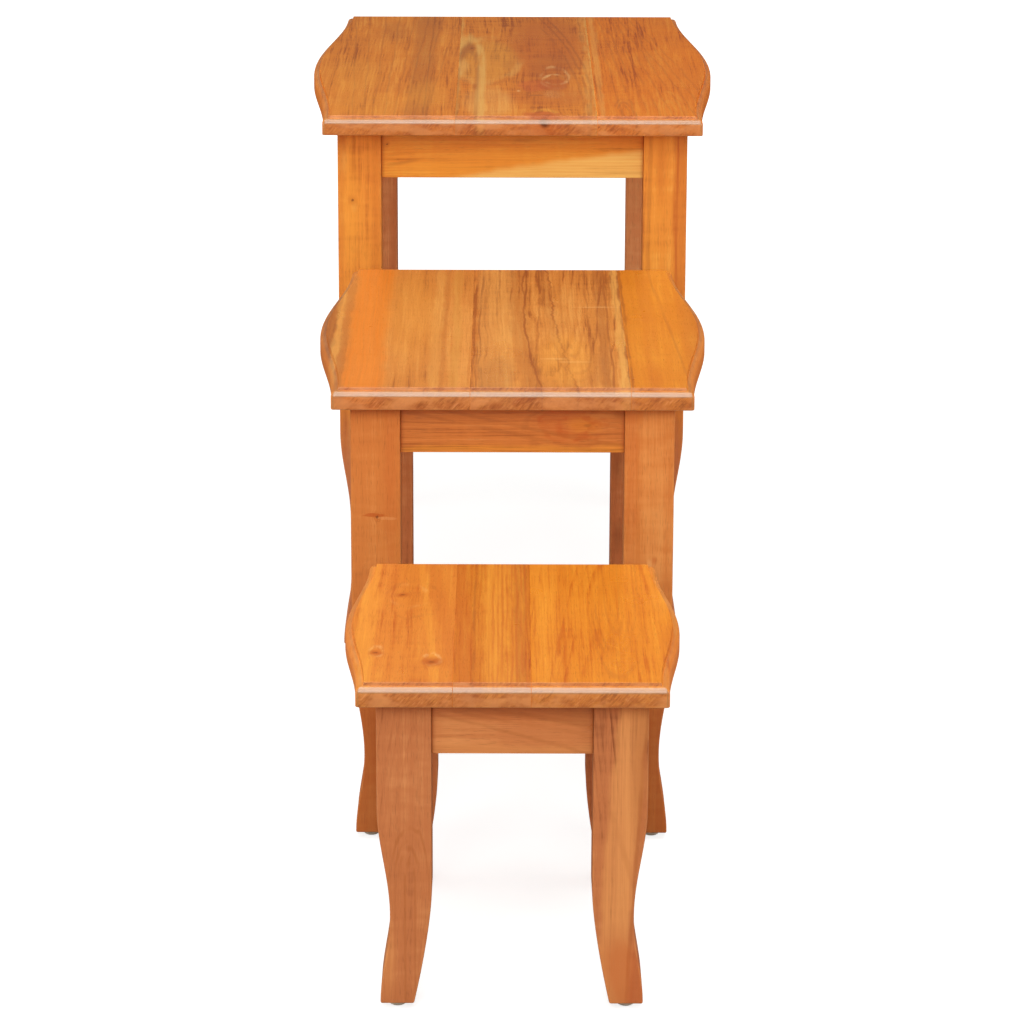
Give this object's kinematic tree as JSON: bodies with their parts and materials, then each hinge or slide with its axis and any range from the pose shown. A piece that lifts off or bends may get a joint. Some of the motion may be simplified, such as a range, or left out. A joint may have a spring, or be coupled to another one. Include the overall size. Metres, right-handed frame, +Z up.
{
  "type": "nest of tables",
  "caption": "Nest of wooden side tables with moulded, wavy-sided tops on shaped legs, drawn apart end to end in order of size.",
  "frame": {"origin": "middle of the floor area under the row of tables", "axes": "+X across the row, to the right seen from the small table; +Y along the row, from the small table to the large one; +Z up"},
  "size_m": [0.376, 1.399, 0.504],
  "materials": {
    "top_wood": "clear semi-gloss lacquer",
    "leg_wood": "clear semi-gloss lacquer",
    "apron_wood": "clear semi-gloss lacquer",
    "block_wood": "bare sawn wood",
    "screw_steel": "zinc-plated steel",
    "glide_plastic": "matt pale grey plastic",
    "nail_steel": "bare steel"
  },
  "bodies": {
    "large_table": {"large_top_board_left": "top_wood", "large_top_board_centre": "top_wood", "large_top_board_right": "top_wood", "large_leg_front_left": "leg_wood", "large_leg_front_right": "leg_wood", "large_leg_rear_left": "leg_wood", "large_leg_rear_right": "leg_wood", "large_apron_front": "apron_wood", "large_apron_rear": "apron_wood", "large_apron_left": "apron_wood", "large_apron_right": "apron_wood", "large_corner_blocks": "block_wood", "large_block_screws": "screw_steel", "large_glides": "glide_plastic", "large_glide_nails": "nail_steel"},
    "middle_table": {"middle_top_board_left": "top_wood", "middle_top_board_centre": "top_wood", "middle_top_board_right": "top_wood", "middle_leg_front_left": "leg_wood", "middle_leg_front_right": "leg_wood", "middle_leg_rear_left": "leg_wood", "middle_leg_rear_right": "leg_wood", "middle_apron_front": "apron_wood", "middle_apron_rear": "apron_wood", "middle_apron_left": "apron_wood", "middle_apron_right": "apron_wood", "middle_corner_blocks": "block_wood", "middle_block_screws": "screw_steel", "middle_glides": "glide_plastic", "middle_glide_nails": "nail_steel"},
    "small_table": {"small_top_board_left": "top_wood", "small_top_board_centre": "top_wood", "small_top_board_right": "top_wood", "small_leg_front_left": "leg_wood", "small_leg_front_right": "leg_wood", "small_leg_rear_left": "leg_wood", "small_leg_rear_right": "leg_wood", "small_apron_front": "apron_wood", "small_apron_rear": "apron_wood", "small_apron_left": "apron_wood", "small_apron_right": "apron_wood", "small_corner_blocks": "block_wood", "small_block_screws": "screw_steel", "small_glides": "glide_plastic", "small_glide_nails": "nail_steel"}
  },
  "joints": [
    {"name": "middle_slide", "type": "slide", "parent": "large_table", "child": "middle_table", "axis": [0, 1, 0], "range_m": [-0.25, 0.068]},
    {"name": "small_slide", "type": "slide", "parent": "middle_table", "child": "small_table", "axis": [0, 1, 0], "range_m": [-0.25, 0.058]}
  ]
}
